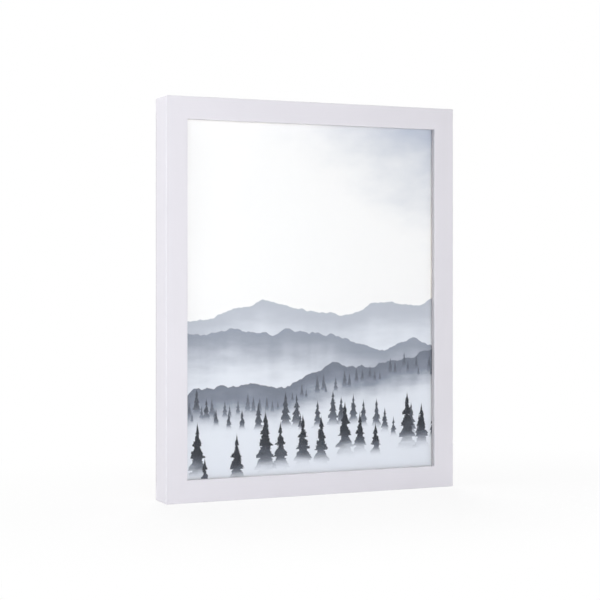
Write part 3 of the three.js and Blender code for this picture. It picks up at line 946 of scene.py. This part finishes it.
def drilled_space(sizes):
    """What the corner nails and the screws take out of the moulding."""
    shape = bmesh.new()
    mouth = REAR + OVERRUN
    grow = Vector((1, 1, 1)) * sizes.clearance
    for name in NAILS:
        low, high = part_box(name)
        for across in (ALONG_X, ALONG_Z):
            wing_low, wing_high = low.copy(), high.copy()
            if low[across] < MIDDLE[across]:
                wing_high[across] = low[across] + sizes.nail_steel
            else:
                wing_low[across] = high[across] - sizes.nail_steel
            wing_high.y = mouth
            box_between(shape, wing_low - grow, wing_high + grow)
    radius = sizes.shank_radius + sizes.clearance
    for name in BUTTON_SCREWS + HANGER_SCREWS:
        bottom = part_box(name)[0].y - sizes.clearance
        middle = middle_of(name)
        middle.y = (bottom + mouth) / 2
        bmesh.ops.create_cone(
            shape, cap_ends=True, segments=PILOT_SIDES, radius1=radius, radius2=radius, depth=mouth - bottom,
            matrix=Matrix.Translation(middle) @ Matrix.Rotation(QUARTER_TURN, 4, "X"),
        )
    mesh = bpy.data.meshes.new("drilled_space")
    shape.to_mesh(mesh)
    shape.free()
    cutter = bpy.data.objects.new("drilled_space", mesh)
    bpy.context.scene.collection.objects.link(cutter)
    return cutter


class FRAME_OT_moulding(bpy.types.Operator):
    """Makes the four mitred lengths of painted moulding"""

    bl_idname = "picture_frame.moulding"
    bl_label = "Moulding"

    def execute(self, context):
        settings = context.scene.frame_moulding
        cutter = drilled_space(context.scene.frame_hardware)
        tree = moulding_tree()
        section = {name: getattr(settings, name) for name in SECTION_SIZES}
        stile = material_of("painted_stile", painted_wood, settings, ALONG_Z)
        rail = material_of("painted_rail", painted_wood, settings, ALONG_X)
        sides = [
            ("left_stile", HEIGHT, WIDTH, (LEFT, FRONT, BOTTOM), 0.0, stile),
            ("bottom_rail", WIDTH, HEIGHT, (RIGHT, FRONT, BOTTOM), -QUARTER_TURN, rail),
            ("right_stile", HEIGHT, WIDTH, (RIGHT, FRONT, TOP), 2 * QUARTER_TURN, stile),
            ("top_rail", WIDTH, HEIGHT, (LEFT, FRONT, TOP), QUARTER_TURN, rail),
        ]
        for node, long, across, corner, turn, finish in sides:
            moulding = piece_from(
                f"moulding_{node}", tree, length=long, across=across, corner=corner, turn=turn,
                drilled=cutter, finish=finish, **section,
            )
            attach(moulding, BODY, "white_painted_wood", node)
        bpy.data.objects.remove(cutter)
        return {"FINISHED"}


class FRAME_OT_corner_nails(bpy.types.Operator):
    """Finishes the corner nails in the mitres"""

    bl_idname = "picture_frame.corner_nails"
    bl_label = "Corner nails"

    def execute(self, context):
        zinc = context.scene.frame_hardware.zinc
        dress(NAILS, material_of("zinc_nail", plated_steel, zinc, ALONG_X, NAIL_PLATE))
        return {"FINISHED"}


def sheet_tree():
    """A sheet or strip with rounded corners: X and Z across its face, Y through it."""
    tree = SolidTree("Cut sheet", place="vector", extent="vector", corner="size")
    wide, thick, tall = tree.split(tree.given("extent"))
    sheet = tree.board(wide, tall, thick, tree.given("corner"))
    return tree.close(tree.placed(tree.moved(sheet, y=thick), "place"))


def cut_sheet(settings, tree, node, slot, finish):
    """A sheet with eased rims in the place of a CAD node."""
    sheet = piece_from(
        f"eased_{node}", tree, bevel=settings.sheet_edge, place=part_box(node)[0], extent=extent_of(node),
        corner=settings.sheet_corner, finish=finish,
    )
    attach(sheet, BODY, slot, node)


class FRAME_OT_picture(bpy.types.Operator):
    """Makes the glazing and the mount board, and finishes the print between them"""

    bl_idname = "picture_frame.picture"
    bl_label = "Glazing, print and board"

    def execute(self, context):
        settings = context.scene.frame_picture
        tree = sheet_tree()
        cut_sheet(settings, tree, "glazing", "clear_acrylic", material_of("clear_acrylic", clear_sheet))
        dress(["print"], material_of("printed_hills", misty_hills, settings))
        cut_sheet(settings, tree, "mount_board", "mount_card", material_of("mount_card", pulp_card, settings))
        return {"FINISHED"}


class FRAME_OT_backing(bpy.types.Operator):
    """Makes the spacers and the back panel"""

    bl_idname = "picture_frame.backing"
    bl_label = "Spacers and back panel"

    def execute(self, context):
        settings = context.scene.frame_picture
        sizes = context.scene.frame_hardware
        tree = sheet_tree()
        for node in SPACERS:
            along = ALONG_Z if node.endswith(("left", "right")) else ALONG_X
            wood = material_of(f"softwood_{node}", softwood, context.scene.frame_moulding, along)
            cut_sheet(settings, tree, node, "raw_softwood", wood)
        tip = button_reach(sizes) + sizes.button_tip
        hardboard = material_of("hardboard", pressed_fibre, settings, tip)
        cut_sheet(settings, tree, "back_panel", "brown_hardboard", hardboard)
        return {"FINISHED"}


ROUND_SIDES = 40


def rounded_over(radius, flat, rim, top, steps):
    """(radius, height) pairs of a round edge, from its rim to the flat that it leads to."""
    for step in range(steps + 1):
        angle = QUARTER_TURN * step / steps
        yield flat + (radius - flat) * math.cos(angle), rim + (top - rim) * math.sin(angle)


def button_reach(sizes):
    """From a turn button's screw to the middle of its tip."""
    return extent_of("turn_button_left_lower").x - sizes.button_eye - sizes.button_tip


BUTTON_STEPS = 2


def button_tree():
    """A pear-shaped plate with rounded rims, bored at its eye. It stands off the wood along Y."""
    tree = SolidTree(
        "Turn button",
        eye="size", tip="size", reach="size", thickness="size", edge="size", bore="size",
        pivot="vector", turn="size",
    )
    eye, tip, reach, thick, edge, bore = tree.sizes("eye", "tip", "reach", "thickness", "edge", "bore")

    def rounded_disc(radius):
        """Circles that outline a disc with round rims."""
        lower = rounded_over(radius, radius - edge, edge, 0.0, BUTTON_STEPS)
        upper = rounded_over(radius, radius - edge, thick - edge, thick, BUTTON_STEPS)
        return tree.joined(*tree.rings([*lower, *upper], ROUND_SIDES))

    plate = tree.hull(rounded_disc(eye), tree.moved(rounded_disc(tip), x=reach))
    button = tree.turned(tree.cut(plate, tree.drill(bore, depth=4 * thick)), x=-QUARTER_TURN)
    return tree.close(tree.placed(tree.turned(button, y=tree.given("turn")), "pivot"))


class FRAME_OT_turn_buttons(bpy.types.Operator):
    """Makes the turn buttons that hold the back panel"""

    bl_idname = "picture_frame.turn_buttons"
    bl_label = "Turn buttons"

    def execute(self, context):
        sizes = context.scene.frame_hardware
        tree = button_tree()
        for body in BUTTONS:
            node = f"turn_{body}"
            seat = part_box(node)[0].y
            inwards = middle_of(node) - SPOTS[body]
            along = ALONG_X if abs(inwards.x) > abs(inwards.z) else ALONG_Z
            plate = piece_from(
                f"plate_{body}", tree,
                eye=sizes.button_eye, tip=sizes.button_tip, reach=button_reach(sizes),
                thickness=extent_of(node).y, edge=sizes.button_edge,
                bore=sizes.shank_radius + sizes.button_play,
                pivot=(SPOTS[body].x, seat, SPOTS[body].z), turn=math.atan2(-inwards.z, inwards.x),
                finish=material_of(f"zinc_{body}", plated_steel, sizes.zinc, along, BUTTON_PLATE),
            )
            attach(plate, body, "zinc_plated_steel", node)
        return {"FINISHED"}


# A screw's head, in shares of its height and radius
HEAD_RIM, HEAD_FLAT = 0.28, 0.05
HEAD_STEPS = 7
SHANK_SIDES = 24
SCREW_BURR = 0.1 * MM
SCREW_POINT = 3 * MM
# Each wing of the cross recess is a stretched four-sided cone
RECESS_CONE = {"Vertices": 4, "Radius Top": 1.5 * MM, "Radius Bottom": 0.7 * MM, "Depth": 1.9 * MM}
RECESS_DEPTH = 1.1 * MM
WING_LONG, WING_SLIM = 1.75, 0.42
# Sockets of the Random Value node in its float form
RANDOM_LEAST, RANDOM_MOST, RANDOM_RESULT = 2, 3, 1


def screw_tree():
    """Round-head wood screws, one at each point of a mesh, each turned home by a different amount."""
    tree = SolidTree(
        "Wood screws",
        seats="geometry", shank="size", head="size", height="size", length="size", seed="count",
    )
    shank, head, tall, long = tree.sizes("shank", "head", "height", "length")
    crown = rounded_over(head, HEAD_FLAT * head, HEAD_RIM * tall, tall, HEAD_STEPS)
    dome = [(head - SCREW_BURR, 0.0), (head, SCREW_BURR), *crown]
    body = [(shank, SCREW_BURR), (shank, SCREW_POINT - long), (SCREW_BURR, 0.0 - long)]
    screw = tree.combined(
        "UNION",
        tree.hull(*tree.rings(dome, ROUND_SIDES)),
        tree.hull(*tree.rings(body, SHANK_SIDES)),
    )
    wings = []
    for stretch in ((WING_LONG, WING_SLIM, 1), (WING_SLIM, WING_LONG, 1)):
        cone = tree.node("GeometryNodeMeshCone", sockets=RECESS_CONE)
        square = tree.turned(cone, z=QUARTER_TURN / 2)
        wing = tree.node("GeometryNodeTransform", sockets={"Geometry": square, "Scale": stretch})
        wings.append(tree.moved(wing, z=tall - RECESS_DEPTH))
    spin = tree.node(
        "FunctionNodeRandomValue",
        {"data_type": "FLOAT"},
        {RANDOM_LEAST: 0.0, RANDOM_MOST: math.pi, "Seed": tree.given("seed")},
        RANDOM_RESULT,
    )
    return tree.close(tree.seated(tree.cut(screw, *wings), spin))


class FRAME_OT_screws(bpy.types.Operator):
    """Drives the screws of the turn buttons and of the hangers"""

    bl_idname = "picture_frame.screws"
    bl_label = "Screws"

    def execute(self, context):
        sizes = context.scene.frame_hardware
        tree = screw_tree()
        groups = [
            ("button_screws", BUTTON_SCREWS, "zinc_plated_steel", sizes.zinc),
            ("hanger_screws", HANGER_SCREWS, "nickel_plated_steel", sizes.nickel),
        ]
        for name, nodes, slot, colour in groups:
            seats = []
            for node in nodes:
                x, _, z = middle_of(node)
                seats.append((x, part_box(node)[1].y - sizes.head_height, z))
            screws = piece_from(
                name, tree, points_mesh(name, seats),
                shank=sizes.shank_radius, head=sizes.head_radius, height=sizes.head_height,
                length=sizes.screw_length, seed=sizes.spin_seed,
                finish=material_of(f"plate_{name}", plated_steel, colour, ALONG_X, SCREW_PLATE),
            )
            attach(screws, BODY, slot, *nodes)
        return {"FINISHED"}


BEND_STEPS, BOW_STEPS = 12, 36
WIRE_SIDES = 20
WIRE_CREASE = math.radians(60)


def ring_line(sizes):
    """The ring's wire: a straight bar on the pivot, two tight bends and a bow, in X and Z."""
    half, bend = sizes.ring_half_width, sizes.ring_bend
    right = []
    for step in range(BEND_STEPS):
        angle = QUARTER_TURN * (1 - step / BEND_STEPS)
        right.append((half - bend + bend * math.cos(angle), bend * math.sin(angle) - bend))
    for step in range(BOW_STEPS):
        angle = -QUARTER_TURN * step / BOW_STEPS
        right.append((half * math.cos(angle), (sizes.ring_height - bend) * math.sin(angle) - bend))
    left = [(-x, z) for x, z in reversed(right)]
    return [(x, 0, z) for x, z in [*right, (0, -sizes.ring_height), *left]]


def wire_tree():
    """Round wire along a closed line, tilted about the line's bar and set in place."""
    tree = SolidTree("Bent wire", line="geometry", radius="size", tilt="size", pivot="vector")
    curve = tree.node("GeometryNodeMeshToCurve", sockets={"Mesh": tree.given("line")})
    sockets = {"Resolution": WIRE_SIDES, "Radius": tree.given("radius")}
    section = tree.node("GeometryNodeCurvePrimitiveCircle", {"mode": "RADIUS"}, sockets)
    wire = tree.node("GeometryNodeCurveToMesh", sockets={"Curve": curve, "Profile Curve": section})
    return tree.close(tree.placed(tree.turned(wire, x=tree.given("tilt")), "pivot"), WIRE_CREASE)


FOLD_STEPS = 20


def arc(radius, start, end):
    """Points along an arc about the origin."""
    for step in range(FOLD_STEPS + 1):
        angle = start + (end - start) * step / FOLD_STEPS
        yield radius * math.cos(angle), radius * math.sin(angle)


def strap_section(sizes, long):
    """Edge view of a strap folded round the ring's bar, with a seam: X up, Y out of the wood."""
    bore = sizes.strap_bore
    outer = bore + sizes.strap_steel
    back = 2 * sizes.strap_steel - outer
    seam = sizes.strap_seam - bore
    outside = arc(outer, -QUARTER_TURN, math.pi - math.asin(back / outer))
    inside = arc(bore, math.pi - math.asin(seam / bore), -QUARTER_TURN)
    line = [(-long, -outer), *outside, (-long, back), (-long, seam), *inside, (-long, -bore)]
    return [(x, y, 0) for x, y in line]


# Radii of a strap's lower and upper corners, in shares of half its width
STRAP_END, STRAP_SHOULDER = 0.98, 0.2
STRAP_STEPS = 12
STRAP_CUTTER = 20 * MM


def strap_tree():
    """A folded strap from its edge view, with a round lower end and a screw hole."""
    tree = SolidTree(
        "Folded strap",
        section="geometry", width="size", long="size", rise="size", hole="size", hole_drop="size",
        pivot="vector",
    )
    width, long, rise, hole = tree.sizes("width", "long", "rise", "hole")
    half = 0.5 * width
    left, foot = 0.0 - half, 0.0 - long
    bar = tree.turned(tree.moved(tree.prism(tree.given("section"), width), z=left), y=-QUARTER_TURN)
    end, shoulder = STRAP_END * half, STRAP_SHOULDER * half
    shield = tree.outline(
        [(left, foot), (half, foot), (half, rise), (left, rise)],
        [end, end, shoulder, shoulder],
        STRAP_STEPS,
    )
    trim = tree.moved(tree.prism(shield, STRAP_CUTTER), z=-STRAP_CUTTER / 2)
    bar = tree.combined("INTERSECT", bar, tree.turned(trim, x=QUARTER_TURN))
    drill = tree.turned(tree.drill(hole, STRAP_CUTTER), x=QUARTER_TURN)
    drilled = tree.cut(bar, tree.moved(drill, z=0.0 - tree.given("hole_drop")))
    return tree.close(tree.placed(drilled, "pivot"))


class FRAME_OT_hangers(bpy.types.Operator):
    """Makes the folded straps and the rings that hang from them"""

    bl_idname = "picture_frame.hangers"
    bl_label = "Ring hangers"

    def execute(self, context):
        sizes = context.scene.frame_hardware
        wire = wire_tree()
        strap = strap_tree()
        for body in RINGS:
            side = body.removeprefix("ring_")
            ring_node, strap_node = f"hanger_ring_{side}", f"hanger_strap_{side}"
            pivot = SPOTS[body]
            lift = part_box(ring_node)[1].y - sizes.ring_wire - pivot.y
            ring = piece_from(
                f"wire_{body}", wire, points_mesh(body, ring_line(sizes), loop=True),
                radius=sizes.ring_wire, tilt=math.asin(lift / sizes.ring_height), pivot=pivot,
                finish=material_of(f"nickel_{body}", plated_steel, sizes.nickel, ALONG_Z, RING_PLATE),
            )
            attach(ring, body, "nickel_plated_steel", ring_node)
            low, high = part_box(strap_node)
            long = pivot.z - low.z
            folded = piece_from(
                f"strap_{side}", strap, face_mesh("strap_section", strap_section(sizes, long)),
                bevel=sizes.strap_edge, width=sizes.strap_width, long=long, rise=high.z - pivot.z,
                hole=sizes.shank_radius + sizes.clearance,
                hole_drop=pivot.z - middle_of(f"hanger_screw_{side}").z, pivot=pivot,
                finish=material_of(f"nickel_strap_{side}", plated_steel, sizes.nickel, ALONG_Z, STRAP_PLATE),
            )
            attach(folded, BODY, "nickel_plated_steel", strap_node)
        return {"FINISHED"}


# A pad's rim in shares of its height, and its flat top and foot in shares of its radius
PAD_RIM, PAD_FLAT, PAD_FOOT = 0.28, 0.70, 0.04
PAD_STEPS = 8


def pad_tree():
    """Soft-edged round pads, one at each point of a mesh."""
    tree = SolidTree("Bumper pads", seats="geometry", radius="size", height="size")
    radius, tall = tree.sizes("radius", "height")
    foot = PAD_FOOT * radius
    crown = rounded_over(radius, PAD_FLAT * radius, PAD_RIM * tall, tall, PAD_STEPS)
    profile = [(radius - foot, 0.0), (radius, foot), *crown]
    return tree.close(tree.seated(tree.hull(*tree.rings(profile, ROUND_SIDES))))


class FRAME_OT_bumpers(bpy.types.Operator):
    """Makes the rubber pads at the lower corners"""

    bl_idname = "picture_frame.bumpers"
    bl_label = "Bumper pads"

    def execute(self, context):
        seats = []
        for node in BUMPERS:
            x, _, z = middle_of(node)
            seats.append((x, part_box(node)[0].y, z))
        extent = extent_of(BUMPERS[0])
        pads = piece_from(
            "bumper_pads", pad_tree(), points_mesh("bumper_pads", seats),
            radius=extent.x / 2, height=extent.y,
            finish=material_of("white_rubber", moulded_rubber, context.scene.frame_hardware),
        )
        attach(pads, BODY, "white_rubber", *BUMPERS)
        return {"FINISHED"}


# The camera stands level, off to the left of the frame
VIEW_ANGLE = math.radians(24.192)
VIEW_DISTANCE = 1.5308
VIEW_OFFSET = 0.01534
EYE_HEIGHT = 0.2185
LENS, SENSOR = 93.05, 36
IMAGE_SIZE = 600
HORIZON_ABOVE_CENTRE = 26.3
# Where each lamp stands and how wide it is, in metres
Lamp = namedtuple("Lamp", "place size")
LAMPS = {
    "front": Lamp(place=(-0.34, -1.30, 0.28), size=0.45),
    "side": Lamp(place=(-1.6, -0.12, 0.85), size=0.9),
    "fill": Lamp(place=(1.8, 0.25, 0.8), size=0.9),
    "rear": Lamp(place=(0.6, 2.2, 1.5), size=1.3),
}
FLOOR_REACH = 6.0
FLOOR_GAP = 0.1 * MM
FLOOR_SWEEP = Speckle(scale=3)
FLOOR_ROUGHNESS = 0.9, 1.0
# Away from the frame the floor turns white: more slowly along X, over these metres, by these shares
SHADOW_SHAPE = (0.6, 1.0, 1.0)
SHADOW_SPAN = 0.08, 0.4
SHADOW_WHITE = 0.86, 1.0


def set_camera(scene):
    """A level camera, shifted down so that its horizon lies above the middle of the picture."""
    data = bpy.data.cameras.new("Camera")
    data.sensor_width = SENSOR
    data.lens = LENS
    data.shift_y = -HORIZON_ABOVE_CENTRE / IMAGE_SIZE
    camera = bpy.data.objects.new("Camera", data)
    ahead = Vector((math.sin(VIEW_ANGLE), math.cos(VIEW_ANGLE), 0))
    right = Vector((math.cos(VIEW_ANGLE), -math.sin(VIEW_ANGLE), 0))
    camera.location = Vector((0, FRONT, EYE_HEIGHT)) - VIEW_DISTANCE * ahead - VIEW_OFFSET * right
    camera.rotation_euler = (QUARTER_TURN, 0, -VIEW_ANGLE)
    scene.collection.objects.link(camera)
    scene.camera = camera


def soft_lamp(scene, name, lamp, watts):
    """A square area lamp that faces the middle of the frame."""
    data = bpy.data.lights.new(name, "AREA")
    data.shape = "SQUARE"
    data.size = lamp.size
    data.energy = watts
    light = bpy.data.objects.new(name, data)
    light.location = lamp.place
    light.rotation_euler = (MIDDLE - Vector(lamp.place)).to_track_quat("-Z", "Y").to_euler()
    scene.collection.objects.link(light)


def seen_directly(graph):
    """1 for what the camera sees, also in metal and through glass."""
    path = graph.node("ShaderNodeLightPath", output="Is Camera Ray")
    mirrored = graph.larger(path.other("Is Glossy Ray"), path.other("Is Transmission Ray"))
    return graph.larger(path, mirrored)


def set_surround(scene, level):
    """Even light from all round, which the camera sees as white."""
    world = bpy.data.worlds.new("Studio")
    world.use_nodes = True
    world.node_tree.nodes.clear()
    graph = Graph(world.node_tree)
    light = graph.node("ShaderNodeBackground", sockets={"Color": WHITE, "Strength": level})
    white = graph.node("ShaderNodeBackground", sockets={"Color": WHITE, "Strength": 1.0})
    both = graph.node("ShaderNodeMixShader", sockets={0: seen_directly(graph), 1: light, 2: white})
    graph.node("ShaderNodeOutputWorld", sockets={"Surface": both})
    scene.world = world


def studio_floor(shader, colour):
    """A pale floor that shows the shadows near the frame and fades to white away from it."""
    sweep = shader.spread(shader.speckle(FLOOR_SWEEP), *FLOOR_ROUGHNESS)
    matt = shader.surface(Base_Color=rgba(colour), Roughness=sweep)
    white = shader.node("ShaderNodeEmission", sockets={"Color": WHITE, "Strength": 1.0})
    near = shader.scaled(shader.place(), SHADOW_SHAPE)
    away = shader.node("ShaderNodeVectorMath", {"operation": "LENGTH"}, {0: near}, "Value")
    share = seen_directly(shader) * shader.spread(shader.ease(away, *SHADOW_SPAN), *SHADOW_WHITE)
    return shader.node("ShaderNodeMixShader", sockets={0: share, 1: matt, 2: white})


class FRAME_OT_stage(bpy.types.Operator):
    """Sets up the camera, the lamps, the surround and the floor"""

    bl_idname = "picture_frame.stage"
    bl_label = "Studio"

    def execute(self, context):
        scene = context.scene
        settings = scene.frame_stage
        set_camera(scene)
        for name, lamp in LAMPS.items():
            soft_lamp(scene, name.title(), lamp, getattr(settings, f"{name}_power"))
        set_surround(scene, settings.world_level)
        near_left = Vector((-FLOOR_REACH, -FLOOR_REACH, BOTTOM - FLOOR_GAP))
        wide, deep = Vector((2 * FLOOR_REACH, 0, 0)), Vector((0, 2 * FLOOR_REACH, 0))
        corners = [near_left, near_left + wide, near_left + wide + deep, near_left + deep]
        floor = bpy.data.objects.new("studio_floor", face_mesh("studio_floor", corners))
        floor.data.materials.append(material_of("studio_floor", studio_floor, settings.floor))
        scene.collection.objects.link(floor)
        scene.view_settings.view_transform = "Standard"
        return {"FINISHED"}


OPERATORS = (
    FRAME_OT_moulding,
    FRAME_OT_corner_nails,
    FRAME_OT_picture,
    FRAME_OT_backing,
    FRAME_OT_turn_buttons,
    FRAME_OT_screws,
    FRAME_OT_hangers,
    FRAME_OT_bumpers,
    FRAME_OT_stage,
)
SETTINGS = {
    "frame_moulding": MouldingSettings,
    "frame_picture": PictureSettings,
    "frame_hardware": HardwareSettings,
    "frame_stage": StageSettings,
}


class FRAME_PT_sidebar(bpy.types.Panel):
    """Lists the steps that build the picture frame"""

    bl_idname = "FRAME_PT_sidebar"
    bl_label = "Picture frame"
    bl_space_type = "VIEW_3D"
    bl_region_type = "UI"
    bl_category = "Picture frame"

    def draw(self, context):
        for operator in OPERATORS:
            self.layout.operator(operator.bl_idname)
        for name, group in SETTINGS.items():
            column = self.layout.column(align=True)
            for prop in group.__annotations__:
                column.prop(getattr(context.scene, name), prop)


def register():
    """Makes the settings, the operators and the panel known to Blender."""
    for group in SETTINGS.values():
        bpy.utils.register_class(group)
    for name, group in SETTINGS.items():
        setattr(bpy.types.Scene, name, PointerProperty(type=group))
    for operator in OPERATORS:
        bpy.utils.register_class(operator)
    bpy.utils.register_class(FRAME_PT_sidebar)


def unregister():
    """Takes them out again."""
    bpy.utils.unregister_class(FRAME_PT_sidebar)
    for operator in reversed(OPERATORS):
        bpy.utils.unregister_class(operator)
    for name, group in SETTINGS.items():
        delattr(bpy.types.Scene, name)
        bpy.utils.unregister_class(group)


def main():
    """Builds the frame and its stage."""
    register()
    bpy.ops.picture_frame.moulding()
    bpy.ops.picture_frame.corner_nails()
    bpy.ops.picture_frame.picture()
    bpy.ops.picture_frame.backing()
    bpy.ops.picture_frame.turn_buttons()
    bpy.ops.picture_frame.screws()
    bpy.ops.picture_frame.hangers()
    bpy.ops.picture_frame.bumpers()
    bpy.ops.picture_frame.stage()


if __name__ == "__main__":
    main()
